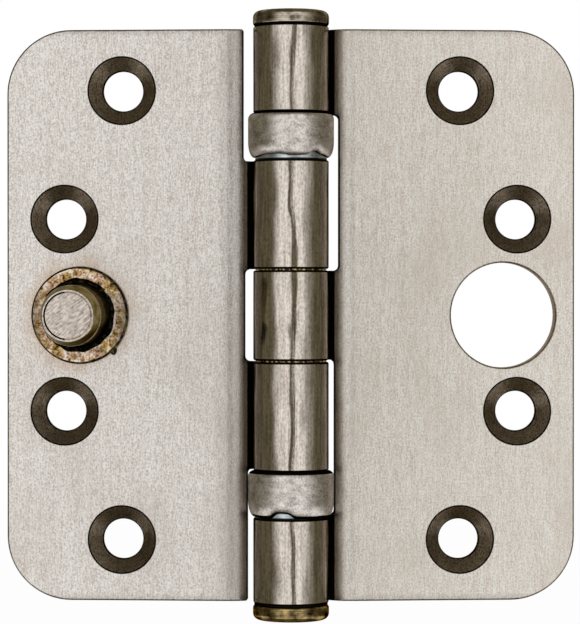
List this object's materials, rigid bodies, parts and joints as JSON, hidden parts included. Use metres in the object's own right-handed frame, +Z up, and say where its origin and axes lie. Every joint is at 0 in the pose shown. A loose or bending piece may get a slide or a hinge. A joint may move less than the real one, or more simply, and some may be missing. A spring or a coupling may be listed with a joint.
{
  "type": "ball bearing butt hinge",
  "caption": "Ball bearing butt hinge: rounded-corner steel leaves with countersunk screw holes swing on a capped pin through enclosed thrust bearings, with a security stud and its hole.",
  "frame": {"origin": "on the pin axis, at mid-height of the leaves", "axes": "+Z up along the pin; the frame leaf lies at +X, parallel to XZ, with its screw heads facing -Y; the door leaf lies at -X, folded back 8 degrees beyond flat"},
  "size_m": [0.0884, 0.0168, 0.0946],
  "materials": {
    "leaf_steel": "stainless sheet, vertically brushed, with dark specks",
    "pin_steel": "plain ground stainless bar",
    "top_cap_steel": "turned stainless, grey brown",
    "bottom_cap_steel": "turned stainless, olive brown",
    "stud_steel": "turned bar with a scratched top",
    "tinted_steel": "stainless ring with golden brown heat tint",
    "shell_steel": "pressed stainless cup, satin",
    "race_steel": "hardened and ground steel",
    "cage_brass": "plain pressed sheet",
    "ball_steel": "polished bearing steel"
  },
  "bodies": {
    "frame_side": {"frame_leaf": "leaf_steel", "hinge_pin": "pin_steel", "top_pin_cap": "top_cap_steel", "bottom_pin_cap": "bottom_cap_steel", "upper_bearing_shell": "shell_steel", "upper_bearing_top_race": "race_steel", "lower_bearing_bottom_race": "race_steel"},
    "door_side": {"door_leaf": "leaf_steel", "security_stud": "stud_steel", "stud_collar": "tinted_steel", "upper_bearing_bottom_race": "race_steel", "lower_bearing_shell": "shell_steel", "lower_bearing_top_race": "race_steel"},
    "upper_ball_set": {"upper_ball_cage": "cage_brass", "upper_ball_1": "ball_steel", "upper_ball_2": "ball_steel", "upper_ball_3": "ball_steel", "upper_ball_4": "ball_steel", "upper_ball_5": "ball_steel", "upper_ball_6": "ball_steel", "upper_ball_7": "ball_steel", "upper_ball_8": "ball_steel", "upper_ball_9": "ball_steel", "upper_ball_10": "ball_steel"},
    "lower_ball_set": {"lower_ball_cage": "cage_brass", "lower_ball_1": "ball_steel", "lower_ball_2": "ball_steel", "lower_ball_3": "ball_steel", "lower_ball_4": "ball_steel", "lower_ball_5": "ball_steel", "lower_ball_6": "ball_steel", "lower_ball_7": "ball_steel", "lower_ball_8": "ball_steel", "lower_ball_9": "ball_steel", "lower_ball_10": "ball_steel"}
  },
  "joints": [
    {"name": "leaf_swing", "type": "hinge", "parent": "frame_side", "child": "door_side", "pos_m": [0, 0, 0], "axis": [0, 0, 1], "range_deg": [-82, 188]},
    {"name": "upper_cage_turn", "type": "hinge", "parent": "frame_side", "child": "upper_ball_set", "pos_m": [0, 0, 0.028], "axis": [0, 0, 1], "range_deg": [-41, 94]},
    {"name": "lower_cage_turn", "type": "hinge", "parent": "frame_side", "child": "lower_ball_set", "pos_m": [0, 0, -0.0275], "axis": [0, 0, 1], "range_deg": [-41, 94]}
  ],
  "couplings": [
    {"joint": "upper_cage_turn", "follows": "leaf_swing", "ratio": 0.5},
    {"joint": "lower_cage_turn", "follows": "leaf_swing", "ratio": 0.5}
  ]
}
